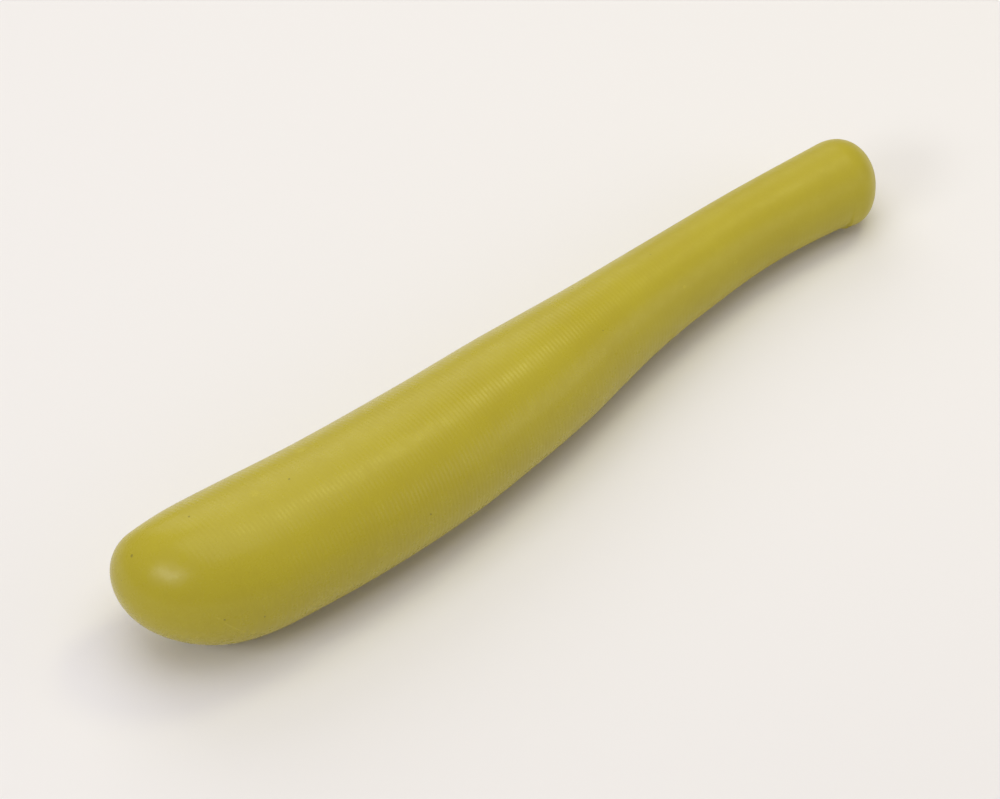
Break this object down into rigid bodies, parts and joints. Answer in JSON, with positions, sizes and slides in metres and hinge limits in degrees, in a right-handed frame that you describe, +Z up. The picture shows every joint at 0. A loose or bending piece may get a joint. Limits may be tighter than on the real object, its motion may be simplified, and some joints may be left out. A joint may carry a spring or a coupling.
{
  "type": "bossing stick",
  "caption": "One-piece plastic bossing stick: club-shaped body with a straight back and a swept full-bellied working face, necking into a round handle, for working sheet lead.",
  "frame": {"origin": "centre of the footprint, on the table that the stick lies on", "axes": "+X from the nose to the handle end, +Y to the straight back, -Y to the swept working face, +Z up"},
  "size_m": [0.3602, 0.0616, 0.0545],
  "materials": {
    "yellow_green_polyethylene": "satin, machined with fine cross feed marks"
  },
  "bodies": {
    "root": {"bossing_stick": "yellow_green_polyethylene"}
  },
  "joints": []
}
